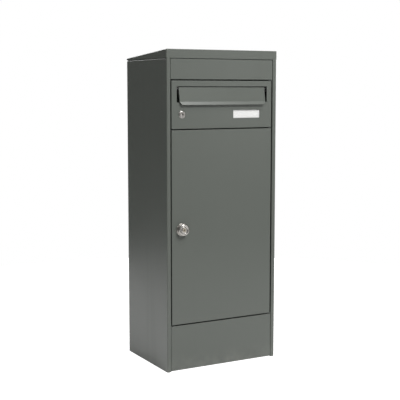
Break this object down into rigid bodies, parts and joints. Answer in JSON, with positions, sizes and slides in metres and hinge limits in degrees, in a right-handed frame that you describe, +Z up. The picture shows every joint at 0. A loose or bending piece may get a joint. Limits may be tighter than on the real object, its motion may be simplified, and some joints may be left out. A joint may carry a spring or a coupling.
{
  "type": "letter and parcel box pillar",
  "caption": "Free-standing sheet steel pillar with a lockable letter compartment over a tall parcel compartment, under a sloped rain roof.",
  "frame": {"origin": "middle of the footprint at floor level", "axes": "+Z up, +X to the right seen from the front, -Y to the front where the doors are"},
  "size_m": [0.41, 0.3163, 1.0399],
  "materials": {
    "shell_paint": "satin powder coat, grey-green",
    "inner_paint": "satin powder coat, inside",
    "zinc_plated": "bright zinc plated",
    "satin_nickel": "satin nickel",
    "pin_steel": "bright drawn steel",
    "core_brass": "nickel-washed brass",
    "black_nylon": "moulded nylon",
    "black_rubber": "foam rubber",
    "clear_pane": "clear acrylic",
    "name_card": "plain white card"
  },
  "bodies": {
    "cabinet": {"left_side_panel": "shell_paint", "right_side_panel": "shell_paint", "roof": "shell_paint", "top_fascia": "shell_paint", "plinth_panel": "shell_paint", "upper_hinge_lug": "shell_paint", "middle_hinge_lug": "shell_paint", "lower_hinge_lug": "shell_paint", "rear_rivets": "shell_paint", "rear_panel": "inner_paint", "inner_top": "inner_paint", "divider_shelf": "inner_paint", "letter_sill": "inner_paint", "shelf_rails": "inner_paint", "floor_panel": "inner_paint", "floor_rails": "inner_paint", "plinth_brackets": "zinc_plated", "base_plate": "zinc_plated", "roof_screws": "zinc_plated", "fascia_screws": "zinc_plated", "plinth_screws": "zinc_plated", "hinge_pins": "pin_steel", "parcel_door_seal": "black_rubber", "letter_door_buffers": "black_rubber"},
    "letter_door": {"letter_door_panel": "shell_paint", "mail_hood": "inner_paint", "letter_door_bushes": "black_nylon", "flap_spacers": "black_nylon", "nameplate_holder": "black_nylon", "flap_brackets": "zinc_plated", "letter_lock_nut": "zinc_plated", "flap_rod": "pin_steel", "flap_rod_clips": "pin_steel", "flap_buffers": "black_rubber", "nameplate_pane": "clear_pane", "nameplate_card": "name_card", "letter_lock_housing": "satin_nickel"},
    "letter_flap": {"letter_flap": "shell_paint"},
    "letter_lock_plug": {"letter_lock_plug": "satin_nickel", "letter_lock_cam": "zinc_plated", "letter_cam_screw": "zinc_plated"},
    "parcel_door": {"parcel_door_panel": "shell_paint", "parcel_door_stiffener": "inner_paint", "parcel_door_bushes": "black_nylon", "parcel_lock_rose": "satin_nickel", "parcel_lock_barrel": "zinc_plated", "parcel_lock_nut": "zinc_plated"},
    "parcel_knob": {"parcel_knob": "satin_nickel", "parcel_spindle": "pin_steel", "parcel_lock_cam": "zinc_plated", "parcel_cam_nut": "zinc_plated"},
    "parcel_key_core": {"parcel_key_core": "core_brass"}
  },
  "joints": [
    {"name": "letter_door_hinge", "type": "hinge", "parent": "cabinet", "child": "letter_door", "pos_m": [0.181, -0.1425, 0.8645], "axis": [0, 0, 1], "range_deg": [0, 100]},
    {"name": "parcel_door_hinge", "type": "hinge", "parent": "cabinet", "child": "parcel_door", "pos_m": [0.181, -0.1425, 0.469], "axis": [0, 0, 1], "range_deg": [0, 100]},
    {"name": "letter_flap_hinge", "type": "hinge", "parent": "letter_door", "child": "letter_flap", "pos_m": [0, -0.1395, 0.916], "axis": [-1, 0, 0], "range_deg": [0, 70]},
    {"name": "letter_lock_turn", "type": "hinge", "parent": "letter_door", "child": "letter_lock_plug", "pos_m": [-0.15, -0.1485, 0.8335], "axis": [0, -1, 0], "range_deg": [0, 90]},
    {"name": "parcel_knob_turn", "type": "hinge", "parent": "parcel_door", "child": "parcel_knob", "pos_m": [-0.15, -0.1485, 0.465], "axis": [0, -1, 0], "range_deg": [0, 90]},
    {"name": "parcel_key_turn", "type": "hinge", "parent": "parcel_knob", "child": "parcel_key_core", "pos_m": [-0.15, -0.1585, 0.465], "axis": [0, -1, 0], "range_deg": [0, 90]}
  ]
}
